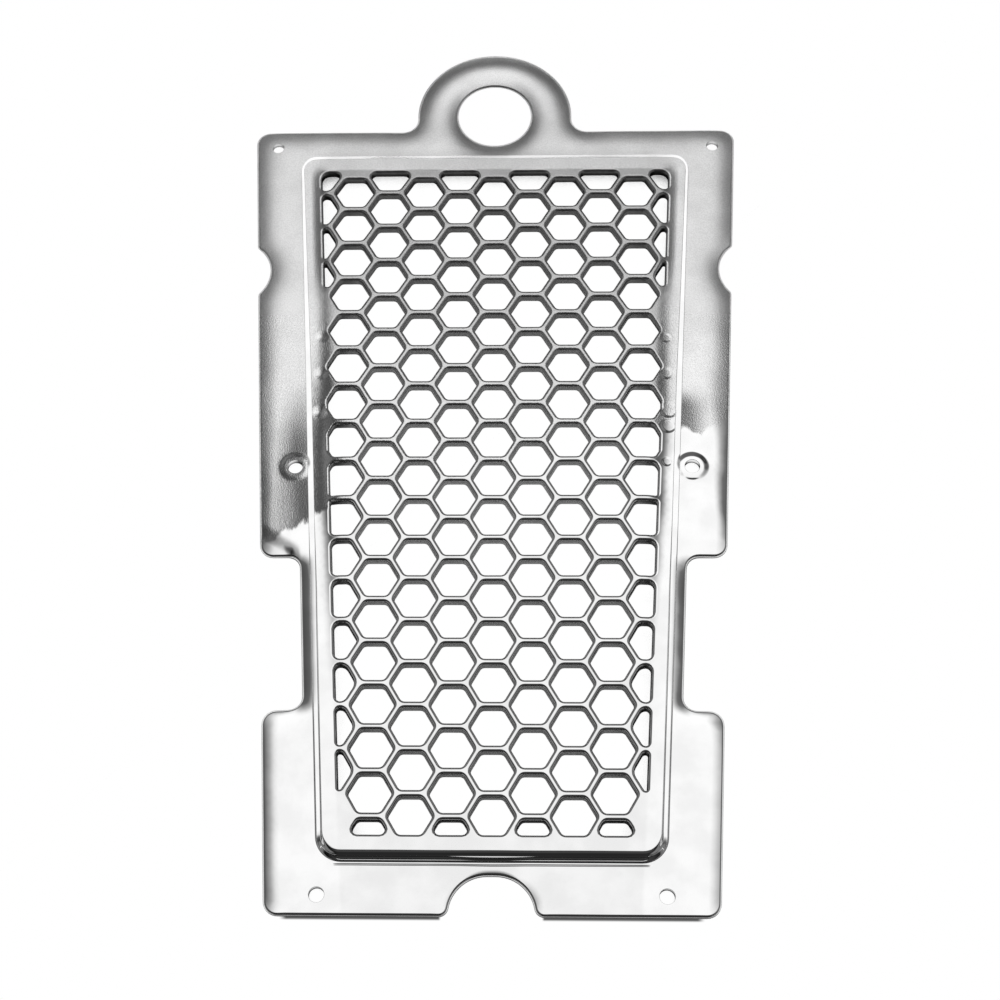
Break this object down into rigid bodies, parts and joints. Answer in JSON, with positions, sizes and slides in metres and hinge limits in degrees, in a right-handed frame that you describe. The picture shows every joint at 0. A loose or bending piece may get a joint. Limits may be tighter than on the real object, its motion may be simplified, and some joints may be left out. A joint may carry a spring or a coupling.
{
  "type": "motorcycle radiator guard",
  "caption": "Tapered sheet-metal guard with a raised honeycomb panel, a flat drilled flange, a narrow waist, round side notches and a ring tab at the top.",
  "frame": {"origin": "middle of the outline, on the plane of the flange's underside", "axes": "+X to the right as seen from the front, +Y along the guard towards the ring tab, +Z out of the front face"},
  "size_m": [0.1336, 0.25, 0.0051],
  "materials": {
    "chrome": "bright plating on pressed sheet steel, satin towards the ring tab"
  },
  "bodies": {
    "root": {"radiator_guard": "chrome"}
  },
  "joints": []
}
